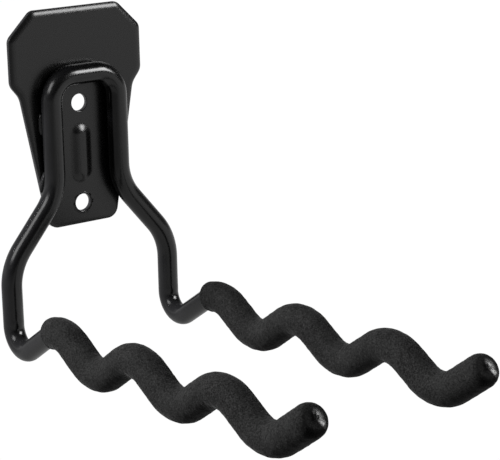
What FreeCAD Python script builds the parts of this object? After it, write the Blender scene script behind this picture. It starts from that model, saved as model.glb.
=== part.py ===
"""Wall hanger for guitars: a pressed steel wall plate, one bent steel rod welded to it, and two foam sleeves.

The rod starts at one arm's tip, runs back through the waves of that arm, turns up the wall, passes over
the plate as an inverted U and comes down to the other arm.  Each arm's waves hold one instrument per valley.

Units are millimetres.  +Z is up and the wall lies on the plane Y = 0.  The arms point along -Y, and +X is
to the right of someone who faces the wall.  The origin is midway between the two screw holes, on the wall.
"""

import FreeCAD
import Part

import math
import os

from FreeCAD import Vector

# ---------------------------------------------------------------- driving dimensions
# Wall plate
PLATE_DEPTH = 2.5          # from the wall to the front face
RELIEF_DEPTH = 0.4         # of the shallow relief behind, so that only the rim touches the wall
RELIEF_CORNER_RADIUS = 0.3
RIM_WIDTH = 2.4            # of the rim's footprint on the wall
RIM_STRAIGHT = 0.3         # the rim's edge next to the wall that isn't rolled
HEAD_WIDTH = 62.2          # widest part, above the rod
HEAD_TOP = 60.8            # height of the top edge above the origin
HEAD_FOOT = 31.4           # height at which the head's upright sides end
TOP_CHAMFER_WIDTH = 10.7
TOP_CHAMFER_HEIGHT = 10.6
WAIST_OVER_LEGS = 22.8     # how much wider the waist, just under the head, is than the legs' spacing
WAIST_DROP = 5.3           # from the end of the head's sides to the waist
FOOT_OVER_LEGS = 1.4       # the same for the bottom edge: the welds need the plate to reach past the legs
FOOT_DROP = 30.1           # from the origin down to the bottom edge
CHAMFER_CORNER_RADIUS = 4.0
SHOULDER_RADIUS = 5.0
WAIST_RADIUS = 8.0
FOOT_RADIUS = 5.0

# Screw holes and stiffening bead
SCREW_HOLE_DIAMETER = 7.2
SCREW_HOLE_SPACING = 42.3
BEAD_WIDTH = 9.0
BEAD_LENGTH = 24.3
BEAD_HEIGHT = 1.5

# Rod
ROD_DIAMETER = 8.5         # an 8 mm bar under its coat
ROD_END_CHAMFER = 0.8
LEG_SPACING = 31.0         # between the centres of the two upright legs on the plate
ARM_SPACING = 76.4         # between the centres of the two arms
CROWN_HEIGHT = 33.9        # centre of the inverted U's top run above the origin
CROWN_RADIUS = 10.2
SPREAD_TOP = -14.2         # height at which the legs start to spread
SPREAD_FOOT = -41.5        # height at which they are upright again
SPREAD_TOP_RADIUS = 23.4
SPREAD_FOOT_RADIUS = 24.9
HEEL_HEIGHT = -82.1        # corner where a leg turns out into its arm
HEEL_RADIUS = 8.8

# Waves of an arm: a zigzag with rounded corners, along a line that climbs away from the wall
WAVE_VALLEYS = 3
WAVE_PITCH = 54.5          # crest to crest, measured level
WAVE_RISE = 17.2           # zigzag's height, before its corners are rounded
WAVE_RADIUS = 17.4
ARM_CLIMB = 3.9            # degrees
FIRST_CREST_REACH = 38.1   # from the legs' centre plane out to the first crest's corner
FIRST_CREST_RISE = 24.9    # from the heel's corner up to the first crest's corner
TIP_LENGTH = 30.3          # from the last valley's corner to the arm's end
TIP_ANGLE = 36.2           # degrees above level

# Foam sleeve
SLEEVE_WALL = 2.1
SLEEVE_CLEARANCE = 0.1     # the film of glue between the sleeve and the rod
SLEEVE_SETBACK = 3.4       # along the rod, from the start of the first crest's bend to the sleeve's mouth
SLEEVE_END_WALL = 5.0      # foam beyond the rod's end
SLEEVE_END_ROUNDING = 4.6
SLEEVE_LIP_ROUNDING = 1.3

# Welds: short beads in the notch between each leg's outer side and the plate
WELD_PLACES = {"upper": 30.4, "lower": 55.4}    # along the rod from the middle of the crown
WELD_LENGTH = 9.0
WELD_DIAMETER = 3.0
WELD_STAND_OFF = 3.6       # from the leg's centre line out to the bead's
WELD_RISE = 0.8            # of the bead's centre line in front of the plate

# ---------------------------------------------------------------- sizes that follow from them
ROD_RADIUS = ROD_DIAMETER / 2
PLATE_FRONT = -PLATE_DEPTH
PLATE_THICKNESS = PLATE_DEPTH - RELIEF_DEPTH
EDGE_ROLL_RADIUS = PLATE_DEPTH - RIM_STRAIGHT
WAIST_WIDTH = LEG_SPACING + WAIST_OVER_LEGS
FOOT_WIDTH = LEG_SPACING + FOOT_OVER_LEGS
ROD_PLANE = PLATE_FRONT - ROD_RADIUS       # the legs rest on the plate
SLEEVE_RADIUS = ROD_RADIUS + SLEEVE_CLEARANCE + SLEEVE_WALL
SLEEVE_BORE_RADIUS = ROD_RADIUS + SLEEVE_CLEARANCE
FIRST_CREST_BEND = 9       # its place among the runs and bends of the half path
SAME_PLACE = 1e-3          # points and edges closer than this count as one


# ---------------------------------------------------------------- paths
def unit(vector):
    """The same direction with a length of one."""
    return Vector(vector).normalize()


def rounded_path(corners, radii):
    """Edges of a path through the corners, each inner corner rounded by a tangent arc of its own radius."""
    edges = []
    last = corners[0]
    for before, corner, after, radius in zip(corners, corners[1:], corners[2:], radii):
        back = unit(before - corner)
        forward = unit(after - corner)
        half_opening = back.getAngle(forward) / 2
        tangent = radius / math.tan(half_opening)
        middle = unit(back + forward)
        start = corner + back * tangent
        end = corner + forward * tangent
        top = corner + middle * (radius / math.sin(half_opening) - radius)
        edges.append(Part.LineSegment(last, start).toShape())
        edges.append(Part.Arc(start, top, end).toShape())
        last = end
    edges.append(Part.LineSegment(last, corners[-1]).toShape())
    return edges


def cut_path(edges, start, end):
    """The stretch of a path between two lengths measured along it."""
    kept = []
    passed = 0.0
    for edge in edges:
        low = max(start - passed, 0.0)
        high = min(end - passed, edge.Length)
        if high - low > SAME_PLACE:
            first = edge.getParameterByLength(low)
            last = edge.getParameterByLength(high)
            kept.append(edge.Curve.toShape(first, last))
        passed += edge.Length
    return kept


def path_length(edges):
    """Length of a whole path."""
    return sum(edge.Length for edge in edges)


def start_of(edges):
    """First point of a path."""
    return edges[0].valueAt(edges[0].FirstParameter)


def end_of(edges):
    """Last point of a path."""
    return edges[-1].valueAt(edges[-1].LastParameter)


def swept_bar(edges, radius):
    """A round bar of the given radius along a path."""
    heading = edges[0].tangentAt(edges[0].FirstParameter)
    section = Part.Wire([Part.makeCircle(radius, start_of(edges), heading)])
    return Part.Wire(edges).makePipeShell([section], True, False)


def rims_at(shape, centre, radius):
    """Circular edges of a shape with that radius round that point."""
    rims = []
    for edge in shape.Edges:
        off_centre = edge.CenterOfMass.distanceToPoint(centre)
        off_radius = abs(edge.valueAt(edge.FirstParameter).distanceToPoint(centre) - radius)
        if max(off_centre, off_radius) < SAME_PLACE:
            rims.append(edge)
    return rims


def mirrored(shape):
    """The same shape on the other side of the hanger's middle plane."""
    return shape.mirror(Vector(0, 0, 0), Vector(1, 0, 0))


# ---------------------------------------------------------------- rod
def leg_corners():
    """Corners of the right leg, from the crown down to where it is upright again."""
    return [
        Vector(LEG_SPACING / 2, ROD_PLANE, CROWN_HEIGHT),
        Vector(LEG_SPACING / 2, ROD_PLANE, SPREAD_TOP),
        Vector(ARM_SPACING / 2, ROD_PLANE, SPREAD_FOOT),
    ]


def arm_corners():
    """Corners of the right arm, from the heel to the tip."""
    heel = Vector(ARM_SPACING / 2, ROD_PLANE, HEEL_HEIGHT)
    crest = heel + Vector(0, -FIRST_CREST_REACH, FIRST_CREST_RISE)
    corners = [heel, crest]
    half_pitch = WAVE_PITCH / 2
    climb = half_pitch * math.tan(math.radians(ARM_CLIMB))
    for step in range(2 * WAVE_VALLEYS - 1):
        swing = WAVE_RISE if step % 2 else -WAVE_RISE
        corners.append(corners[-1] + Vector(0, -half_pitch, climb + swing))
    angle = math.radians(TIP_ANGLE)
    tip_run = Vector(0, -TIP_LENGTH * math.cos(angle), TIP_LENGTH * math.sin(angle))
    corners.append(corners[-1] + tip_run)
    return corners


def right_half_path():
    """Path of the rod's right half, from the middle of the crown to the end of the arm's sleeve."""
    crown_middle = Vector(0, ROD_PLANE, CROWN_HEIGHT)
    corners = [crown_middle] + leg_corners() + arm_corners()
    radii = [CROWN_RADIUS, SPREAD_TOP_RADIUS, SPREAD_FOOT_RADIUS, HEEL_RADIUS]
    radii += [WAVE_RADIUS] * (2 * WAVE_VALLEYS)
    return rounded_path(corners, radii)


def hanger_rod():
    """The bent rod, one solid from tip to tip, with a chamfer round each end."""
    path = right_half_path()
    run = cut_path(path, 0, path_length(path) - SLEEVE_END_WALL)
    right = swept_bar(run, ROD_RADIUS)
    right = right.makeChamfer(ROD_END_CHAMFER, rims_at(right, end_of(run), ROD_RADIUS))
    return right.fuse(mirrored(right)).removeSplitter()


# ---------------------------------------------------------------- foam sleeve
def right_foam_sleeve():
    """A foam tube over the right arm, with a soft lip at its mouth and a closed, rounded far end."""
    path = right_half_path()
    whole = path_length(path)
    before_first_crest = path[:FIRST_CREST_BEND]
    mouth = path_length(before_first_crest) + SLEEVE_SETBACK
    run = cut_path(path, mouth, whole)
    tube = swept_bar(run, SLEEVE_RADIUS)
    tube = tube.makeFillet(SLEEVE_END_ROUNDING, rims_at(tube, end_of(run), SLEEVE_RADIUS))
    tube = tube.makeFillet(SLEEVE_LIP_ROUNDING, rims_at(tube, start_of(run), SLEEVE_RADIUS))
    bore_run = cut_path(path, mouth - SLEEVE_WALL, whole - SLEEVE_END_WALL + SLEEVE_CLEARANCE)
    return tube.cut(swept_bar(bore_run, SLEEVE_BORE_RADIUS))


# ---------------------------------------------------------------- wall plate
def plate_outline():
    """Closed outline of the plate on the wall, with a rounded corner at each turn."""
    half_head = HEAD_WIDTH / 2
    right_side = [
        (half_head - TOP_CHAMFER_WIDTH, HEAD_TOP, CHAMFER_CORNER_RADIUS),
        (half_head, HEAD_TOP - TOP_CHAMFER_HEIGHT, CHAMFER_CORNER_RADIUS),
        (half_head, HEAD_FOOT, SHOULDER_RADIUS),
        (WAIST_WIDTH / 2, HEAD_FOOT - WAIST_DROP, WAIST_RADIUS),
        (FOOT_WIDTH / 2, -FOOT_DROP, FOOT_RADIUS),
    ]
    left_side = [(-x, z, radius) for x, z, radius in reversed(right_side)]
    ring = right_side + left_side
    top_middle = Vector(0, 0, HEAD_TOP)
    corners = [top_middle] + [Vector(x, 0, z) for x, z, radius in ring] + [top_middle]
    return Part.Wire(rounded_path(corners, [radius for x, z, radius in ring]))


def bead_form(inset):
    """A round-ended bar whose front pushes out of the plate as the bead, or its inside if inset."""
    half_width = BEAD_WIDTH / 2
    crown = (half_width ** 2 + BEAD_HEIGHT ** 2) / (2 * BEAD_HEIGHT)
    depth = PLATE_FRONT - BEAD_HEIGHT + crown
    straight = BEAD_LENGTH - BEAD_WIDTH
    foot = Vector(0, depth, -straight / 2)
    head = Vector(0, depth, straight / 2)
    bar = Part.makeCylinder(crown - inset, straight, foot, Vector(0, 0, 1))
    ends = [Part.makeSphere(crown - inset, foot), Part.makeSphere(crown - inset, head)]
    return bar.fuse(ends).removeSplitter()


def wall_plate():
    """The pressed plate: a rim turned back to the wall, a bead between the legs and two screw holes."""
    outline = plate_outline()
    plate = Part.Face(outline).extrude(Vector(0, PLATE_FRONT, 0))
    plate = plate.makeFillet(EDGE_ROLL_RADIUS, edges_at_depth(plate, PLATE_FRONT))
    relief = Part.Face(outline.makeOffset2D(-RIM_WIDTH)).extrude(Vector(0, -RELIEF_DEPTH, 0))
    relief = relief.makeFillet(RELIEF_CORNER_RADIUS, edges_at_depth(relief, -RELIEF_DEPTH))
    plate = plate.cut(relief)
    before_sheet = Part.makeBox(BEAD_WIDTH, BEAD_HEIGHT + PLATE_THICKNESS, BEAD_LENGTH)
    before_sheet.translate(Vector(-BEAD_WIDTH / 2, PLATE_FRONT - BEAD_HEIGHT, -BEAD_LENGTH / 2))
    plate = plate.fuse(bead_form(0).common(before_sheet))
    plate = plate.cut(bead_form(PLATE_THICKNESS))
    for height in (SCREW_HOLE_SPACING / 2, -SCREW_HOLE_SPACING / 2):
        hole = Part.makeCylinder(SCREW_HOLE_DIAMETER / 2, PLATE_DEPTH, Vector(0, 0, height), Vector(0, -1, 0))
        plate = plate.cut(hole)
    return plate.removeSplitter()


def edges_at_depth(shape, depth):
    """Edges of a shape that lie flat at one distance from the wall."""
    flat = []
    for edge in shape.Edges:
        box = edge.BoundBox
        if abs(box.YMin - depth) < SAME_PLACE and abs(box.YMax - depth) < SAME_PLACE:
            flat.append(edge)
    return flat


# ---------------------------------------------------------------- welds
def right_weld(distance, rod, plate):
    """A short bead beside the right leg, that far along the rod, moulded to the rod and the plate."""
    path = right_half_path()
    place = end_of(cut_path(path, 0, distance))
    heading = unit(end_of(cut_path(path, 0, distance + WELD_LENGTH / 2)) - place)
    outward = heading.cross(Vector(0, 1, 0))
    centre = Vector(place.x, PLATE_FRONT - WELD_RISE, place.z) + outward * WELD_STAND_OFF
    radius = WELD_DIAMETER / 2
    half_run = (WELD_LENGTH - WELD_DIAMETER) / 2
    top = centre - heading * half_run
    foot = centre + heading * half_run
    bar = Part.makeCylinder(radius, 2 * half_run, top, heading)
    bead = bar.fuse([Part.makeSphere(radius, top), Part.makeSphere(radius, foot)])
    return bead.cut(rod).cut(plate)


# ---------------------------------------------------------------- export
def main():
    """Builds every piece and writes each to parts/NODE.step."""
    os.makedirs("parts", exist_ok=True)
    rod = hanger_rod()
    plate = wall_plate()
    sleeve = right_foam_sleeve()
    pieces = {
        "wall_plate": plate,
        "hanger_rod": rod,
        "right_foam_sleeve": sleeve,
        "left_foam_sleeve": mirrored(sleeve),
    }
    for level, distance in WELD_PLACES.items():
        weld = right_weld(distance, rod, plate)
        pieces[f"{level}_right_weld"] = weld
        pieces[f"{level}_left_weld"] = mirrored(weld)
    for name, shape in pieces.items():
        shape.exportStep(f"parts/{name}.step")
        print(f"{name:20s} solids {len(shape.Solids)}  valid {shape.isValid()}  volume {shape.Volume:.1f}")


main()
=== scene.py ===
"""Looks of a wall hanger for guitars: pressed plate, bent rod, foam sleeves and weld beads.

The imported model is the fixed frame, with the wall on the plane Y = 0, +Z up and the arms along -Y.
Sizes here are millimetres, and one function turns a finished surface into a Blender mesh in metres.
Every surface is worked out as whole arrays: a circle carried along the rod's centre line, a section
carried round the plate's outline or round a screw hole, or a height over the plate's face.
"""

import logging
import math
from dataclasses import dataclass, field
from enum import Enum

import bmesh
import bpy
import numpy as np
from mathutils import Matrix, Vector
from mathutils.geometry import delaunay_2d_cdt


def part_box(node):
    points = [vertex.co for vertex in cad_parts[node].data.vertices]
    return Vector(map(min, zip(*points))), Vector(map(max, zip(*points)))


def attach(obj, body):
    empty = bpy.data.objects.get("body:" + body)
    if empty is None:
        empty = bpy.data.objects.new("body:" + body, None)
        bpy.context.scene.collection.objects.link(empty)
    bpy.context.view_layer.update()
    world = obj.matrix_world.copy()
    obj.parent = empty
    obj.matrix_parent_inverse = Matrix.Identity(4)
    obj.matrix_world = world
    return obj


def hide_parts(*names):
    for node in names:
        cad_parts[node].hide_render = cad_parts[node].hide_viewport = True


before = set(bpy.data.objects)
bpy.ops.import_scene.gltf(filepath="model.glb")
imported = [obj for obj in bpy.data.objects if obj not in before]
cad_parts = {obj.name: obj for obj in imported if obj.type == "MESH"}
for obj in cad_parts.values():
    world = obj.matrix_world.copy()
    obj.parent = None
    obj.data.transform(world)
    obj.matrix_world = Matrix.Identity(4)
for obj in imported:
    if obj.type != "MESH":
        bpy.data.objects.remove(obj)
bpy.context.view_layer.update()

MM = 0.001                       # one millimetre in Blender's metres
X_AXIS = np.array([1.0, 0.0, 0.0])
Y_AXIS = np.array([0.0, 1.0, 0.0])
BODY = "root"
PLATE_DEPTH = 2.5                # from the wall to the plate's front face
HEEL_ARC = 7                     # numbers of two parts of the rod's line: runs are even, arcs odd
FIRST_WAVE_ARC = 9
log = logging.getLogger("wall_hanger")


# ---------------------------------------------------------------- small tools
def unit(vectors: np.ndarray) -> np.ndarray:
    """Scale each vector in the last axis to a length of one."""
    return vectors / np.linalg.norm(vectors, axis=-1, keepdims=True)


def smooth_step(low: float, high: float, values: np.ndarray) -> np.ndarray:
    """Rise from 0 at low to 1 at high along the curve 3t^2 - 2t^3."""
    t = np.clip((values - low) / (high - low), 0.0, 1.0)
    return t * t * (3.0 - 2.0 * t)


def bump_at(values: np.ndarray, centre: float, width: float) -> np.ndarray:
    """A bell curve of height 1 about a centre: exp(-((x - centre) / width)^2)."""
    return np.exp(-(((values - centre) / width) ** 2))


def turns(count: int) -> np.ndarray:
    """Angles of that many points spread evenly round a circle, from 0."""
    return np.arange(count) * (2.0 * math.pi / count)


def facing(angle: np.ndarray, towards: float, width: float) -> np.ndarray:
    """A bell curve round a section: 1 at the angle towards, and falling off on both sides of it."""
    return bump_at(np.angle(np.exp(1j * (angle - towards))), 0.0, width)


def box_of(node: str) -> tuple[np.ndarray, np.ndarray]:
    """Lowest and highest corner of a CAD node, in millimetres."""
    low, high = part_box(node)
    return np.array(low) / MM, np.array(high) / MM


def grain(rows: int, columns: int, cell: tuple[float, float], size: float, seed: int) -> np.ndarray:
    """Even, seeded noise on a grid that wraps in both directions.

    White noise is blurred by a Gaussian in the frequency domain: its spectrum is multiplied by
    exp(-(pi * size * frequency)^2 / 2), so what is left has grains about one size across.

    Args:
        rows: grid rows.
        columns: grid columns.
        cell: distance between rows and between columns, in mm.
        size: width of a grain, in mm.
        seed: starting number of the random draw.

    Returns:
        Heights with a mean of 0 and a standard deviation of 1.
    """
    white = np.random.default_rng(seed).standard_normal((rows, columns))
    along = np.fft.fftfreq(rows, cell[0])[:, None]
    around = np.fft.rfftfreq(columns, cell[1])[None, :]
    keep = np.exp(-((math.pi * size) ** 2) * (along**2 + around**2) / 2.0)
    heights = np.fft.irfft2(np.fft.rfft2(white) * keep, s=(rows, columns))
    heights -= heights.mean()
    return heights / heights.std()


# ---------------------------------------------------------------- meshes
@dataclass
class Surface:
    """Points and faces of one piece, gathered from patches, in millimetres."""

    points: list[np.ndarray] = field(default_factory=list)
    quads: list[np.ndarray] = field(default_factory=list)
    triangles: list[np.ndarray] = field(default_factory=list)
    marks: list[np.ndarray] = field(default_factory=list)
    count: int = 0

    def add(self, points: np.ndarray, faces: np.ndarray, mark: np.ndarray | None = None) -> int:
        """Add a patch.

        Args:
            points: N x 3 places.
            faces: M x 4 or M x 3 indices into points.
            mark: a value per point, such as how glossy the finish is there; 0 if left out.

        Returns:
            The index that the patch's first point has in the whole surface.
        """
        first = self.count
        self.points.append(points)
        (self.quads if faces.shape[1] == 4 else self.triangles).append(faces + first)
        self.marks.append(np.zeros(len(points)) if mark is None else mark)
        self.count += len(points)
        return first

    def add_grid(self, grid: np.ndarray, mark: np.ndarray | None = None, flip: bool = False) -> int:
        """Add a sheet of quads over an R x C x 3 grid whose columns close into a ring.

        Args:
            grid: places, ring by ring.
            mark: R x C values.
            flip: turn the faces over.

        Returns:
            The index of the grid's first point in the whole surface.
        """
        rows, columns = grid.shape[:2]
        index = np.arange(rows * columns).reshape(rows, columns)
        beside = np.roll(index, -1, axis=1)
        faces = np.stack([index[:-1], beside[:-1], beside[1:], index[1:]], axis=-1).reshape(-1, 4)
        faces = faces[:, ::-1] if flip else faces
        return self.add(grid.reshape(-1, 3), faces, None if mark is None else mark.ravel())

    def close_ring(self, first: int, columns: int, pole: np.ndarray, flip: bool,
                   mark: float = 0.0) -> None:
        """Close a ring of points with a fan of triangles about a pole.

        Args:
            first: the index of the ring's first point.
            columns: points in the ring.
            pole: the place of the fan's middle.
            flip: turn the faces over.
            mark: the pole's value.
        """
        ring = np.arange(columns)
        pole_index = self.count - first
        fan = np.stack([ring, np.roll(ring, -1), np.full(columns, pole_index)], axis=-1)
        fan = fan[:, ::-1] if flip else fan
        self.points.append(pole[None, :])
        self.marks.append(np.array([mark]))
        self.triangles.append(fan + first)
        self.count += 1

    def add_tube(self, grid: np.ndarray, mark: np.ndarray | None = None, first_mark: float = 0.0) -> None:
        """Add a sheet of rings and close its first and last ring about their middles.

        Args:
            grid: R x C x 3 places, ring by ring.
            mark: R x C values.
            first_mark: the value at the first ring's pole.
        """
        rows, columns = grid.shape[:2]
        first = self.add_grid(grid, mark)
        last = first + (rows - 1) * columns
        self.close_ring(first, columns, grid[0].mean(0), flip=True, mark=first_mark)
        self.close_ring(last, columns, grid[-1].mean(0), flip=False)

    def make(self, name: str, merge: float = 0.0) -> bpy.types.Object:
        """Turn the patches into one object with smooth faces that point outwards.

        Args:
            name: the piece's name.
            merge: points closer than this many millimetres become one; 0 leaves them.

        Returns:
            The object, at the origin, with the attribute "mark" on its points.
        """
        points = np.concatenate(self.points) * MM
        groups = [np.concatenate(faces) for faces in (self.quads, self.triangles) if faces]
        corners = np.concatenate([faces.ravel() for faces in groups])
        sides = np.concatenate([np.full(len(faces), faces.shape[1]) for faces in groups])
        mesh = bpy.data.meshes.new(name)
        mesh.vertices.add(len(points))
        mesh.loops.add(len(corners))
        mesh.polygons.add(len(sides))
        mesh.vertices.foreach_set("co", points.astype(np.float32).ravel())
        mesh.loops.foreach_set("vertex_index", corners.astype(np.int32))
        mesh.polygons.foreach_set("loop_start", (np.cumsum(sides) - sides).astype(np.int32))
        mesh.polygons.foreach_set("loop_total", sides.astype(np.int32))
        mesh.update(calc_edges=True)
        attribute = mesh.attributes.new("mark", "FLOAT", "POINT")
        attribute.data.foreach_set("value", np.concatenate(self.marks).astype(np.float32))
        form = bmesh.new()
        form.from_mesh(mesh)
        if merge:
            bmesh.ops.remove_doubles(form, verts=form.verts, dist=merge * MM)
        if form.calc_volume(signed=True) < 0:
            bmesh.ops.reverse_faces(form, faces=form.faces)
        form.to_mesh(mesh)
        form.free()
        mesh.polygons.foreach_set("use_smooth", np.ones(len(mesh.polygons), dtype=bool))
        mesh.update()
        piece = bpy.data.objects.new(name, mesh)
        bpy.context.scene.collection.objects.link(piece)
        return piece


# ---------------------------------------------------------------- centre lines
class CentreLine:
    """Straight runs joined by tangent arcs, measured by the length along them."""

    def __init__(self, corners: np.ndarray, radii: np.ndarray) -> None:
        """Work out the runs and arcs.

        Each corner is cut back by radius * tan(turn / 2) on both sides, and an arc of that radius
        joins the two cuts.

        Args:
            corners: N x 3 places, the first and the last being the ends.
            radii: the N - 2 bending radii of the corners between.
        """
        heading = unit(np.diff(corners, axis=0))
        enter, leave = heading[:-1], heading[1:]
        turn = np.arccos(np.clip((enter * leave).sum(-1), -1.0, 1.0))
        cut = (radii * np.tan(turn / 2.0))[:, None]
        arc_start = corners[1:-1] - enter * cut
        arc_end = corners[1:-1] + leave * cut
        self.heading = heading
        self.run_start = np.concatenate([corners[:1], arc_end])
        run_end = np.concatenate([arc_start, corners[-1:]])
        self.outward = -unit(leave - enter * np.cos(turn)[:, None])
        self.centre = arc_start - self.outward * radii[:, None]
        self.radius = radii
        lengths = np.empty(2 * len(radii) + 1)
        lengths[0::2] = np.linalg.norm(run_end - self.run_start, axis=-1)
        lengths[1::2] = radii * turn
        self.starts = np.concatenate([[0.0], np.cumsum(lengths)])

    @property
    def length(self) -> float:
        """Length from end to end."""
        return float(self.starts[-1])

    def at(self, distance: np.ndarray) -> tuple[np.ndarray, np.ndarray]:
        """Places and headings at distances along the line.

        A run gives start + heading * t, and an arc gives
        centre + radius * (outward * cos(t / radius) + heading * sin(t / radius)).

        Args:
            distance: lengths from the first end.

        Returns:
            Places and unit headings, with one row for each distance.
        """
        last = len(self.starts) - 2
        piece = np.clip(np.searchsorted(self.starts, distance, side="right") - 1, 0, last)
        t = (distance - self.starts[piece])[:, None]
        number = piece // 2
        place = self.run_start[number] + self.heading[number] * t
        heading = self.heading[number]
        bend = np.minimum(number, len(self.radius) - 1)
        radius = self.radius[bend][:, None]
        outward = self.outward[bend]
        into = self.heading[bend]
        angle = t / radius
        arc_place = self.centre[bend] + radius * (outward * np.cos(angle) + into * np.sin(angle))
        arc_heading = into * np.cos(angle) - outward * np.sin(angle)
        on_arc = (piece % 2 == 1)[:, None]
        return np.where(on_arc, arc_place, place), np.where(on_arc, arc_heading, heading)


@dataclass
class RodLine:
    """The rod's centre line, from the left tip over the crown to the right tip, in millimetres.

    Distances are signed: 0 is the middle of the crown, positive on the right and negative on the left.
    """

    rod_radius: float = 4.25
    leg_spacing: float = 31.0
    crown_radius: float = 10.2
    spread_top: float = -14.2    # height of the corner where a leg turns outwards
    spread_foot: float = -41.5   # and of the one where it turns upright again
    spread_top_radius: float = 23.4
    spread_foot_radius: float = 24.9
    heel_height: float = -82.1
    heel_radius: float = 8.8
    valleys: int = 3
    pitch: float = 54.5          # from one valley to the next
    rise: float = 17.2           # from a valley's corner to a crest's, before the arm's climb
    wave_radius: float = 17.4
    climb: float = math.radians(3.9)
    first_crest: tuple[float, float] = (-38.1, 24.9)   # its corner's steps along Y and Z from the heel's
    tip_length: float = 30.3
    tip_angle: float = math.radians(36.2)
    line: CentreLine = field(init=False)

    def __post_init__(self) -> None:
        """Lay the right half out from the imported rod's box and the wave's sizes."""
        _, high = box_of("hanger_rod")
        plane = high[1] - self.rod_radius
        arm = high[0] - self.rod_radius
        crown = high[2] - self.rod_radius
        leg = self.leg_spacing / 2
        corners = [
            (0.0, plane, crown),
            (leg, plane, crown),
            (leg, plane, self.spread_top),
            (arm, plane, self.spread_foot),
            (arm, plane, self.heel_height),
            (arm, plane + self.first_crest[0], self.heel_height + self.first_crest[1]),
        ]
        half = self.pitch / 2
        for step in range(2 * self.valleys - 1):
            swing = self.rise if step % 2 else -self.rise
            x, y, z = corners[-1]
            corners.append((x, y - half, z + half * math.tan(self.climb) + swing))
        x, y, z = corners[-1]
        tip = (-math.cos(self.tip_angle) * self.tip_length, math.sin(self.tip_angle) * self.tip_length)
        corners.append((x, y + tip[0], z + tip[1]))
        radii = [self.crown_radius, self.spread_top_radius, self.spread_foot_radius, self.heel_radius]
        radii += [self.wave_radius] * (2 * self.valleys)
        self.line = CentreLine(np.array(corners), np.array(radii))

    @property
    def length(self) -> float:
        """Length from the middle of the crown to the end of a sleeve."""
        return self.line.length

    @property
    def heel(self) -> float:
        """Distance at which the heel's bend starts, where the plane of bending changes."""
        return float(self.line.starts[HEEL_ARC])

    @property
    def first_wave(self) -> float:
        """Distance at which the first crest's bend starts."""
        return float(self.line.starts[FIRST_WAVE_ARC])

    def bends(self) -> list[tuple[float, float, float]]:
        """Start, end and side of each wave's bend: side is 1 on a crest and -1 in a valley."""
        starts = self.line.starts[FIRST_WAVE_ARC:]
        return [(starts[2 * i], starts[2 * i + 1], 1.0 - 2.0 * (i % 2)) for i in range(2 * self.valleys)]

    def at(self, distance: np.ndarray) -> tuple[np.ndarray, np.ndarray, np.ndarray]:
        """Places and cross-section axes at signed distances.

        On the legs, which bend in the plane of the plate, the first axis is +Y and the second is
        heading x Y.  On the arms, which bend upright, the second axis is +X and the first is
        X x heading.  The two agree on the upright stretch between, so the section never twists.
        The left half mirrors the right.

        Args:
            distance: signed lengths from the middle of the crown.

        Returns:
            Places, first axes and second axes, with one row for each distance.
        """
        place, heading = self.line.at(np.abs(distance))
        on_arm = (np.abs(distance) > self.heel)[:, None]
        first = np.where(on_arm, np.cross(X_AXIS, heading), Y_AXIS)
        second = np.where(on_arm, X_AXIS, np.cross(heading, Y_AXIS))
        mirror = np.where(distance[:, None] < 0, np.array([-1.0, 1.0, 1.0]), 1.0)
        return place * mirror, first * mirror, second * mirror

    def skin(self, distance: np.ndarray, radius: np.ndarray, columns: int) -> np.ndarray:
        """Carry a circle along the line: place + radius * (first * cos a + second * sin a).

        Args:
            distance: signed lengths, one for each ring.
            radius: R radii, or R x C where the radius changes round the ring.
            columns: points in a ring.

        Returns:
            R x C x 3 grid of places.
        """
        place, first, second = self.at(distance)
        angle = turns(columns)[None, :, None]
        around = first[:, None, :] * np.cos(angle) + second[:, None, :] * np.sin(angle)
        wide = radius[:, None] if radius.ndim == 1 else radius
        return place[:, None, :] + around * wide[:, :, None]


# ---------------------------------------------------------------- finishes
def linear(colour: str) -> tuple[float, float, float, float]:
    """Turn an sRGB hex value such as "#1c1c1d" into linear red, green, blue and alpha."""
    parts = [int(colour[i:i + 2], 16) / 255.0 for i in (1, 3, 5)]
    straight = [c / 12.92 if c <= 0.04045 else ((c + 0.055) / 1.055) ** 2.4 for c in parts]
    return straight[0], straight[1], straight[2], 1.0


def add_node(tree: bpy.types.NodeTree, kind: str, inputs: dict | None = None,
             **settings: object) -> bpy.types.Node:
    """Add a node, set its options, and fill or link its inputs.

    Args:
        tree: the tree it goes into.
        kind: the node's Blender type.
        inputs: socket name or number to a value, or to an output socket to link from.
        settings: options of the node itself.

    Returns:
        The node.
    """
    node = tree.nodes.new(kind)
    for option, value in settings.items():
        setattr(node, option, value)
    for socket, value in (inputs or {}).items():
        if isinstance(value, bpy.types.NodeSocket):
            tree.links.new(value, node.inputs[socket])
        else:
            node.inputs[socket].default_value = value
    return node


def per_metre(size_mm: float) -> float:
    """Texture scale that makes a pattern's features about that many millimetres across."""
    return 1.0 / (size_mm * MM)


def blend_stops(node: bpy.types.Node, stops: list[tuple[float, str]]) -> None:
    """Set a colour ramp's stops.

    Args:
        node: the colour ramp.
        stops: places from 0 to 1 with their hex colours.
    """
    ramp = node.color_ramp
    while len(ramp.elements) < len(stops):
        ramp.elements.new(0.5)
    for element, (place, colour) in zip(ramp.elements, stops):
        element.position = place
        element.color = linear(colour)


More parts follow.
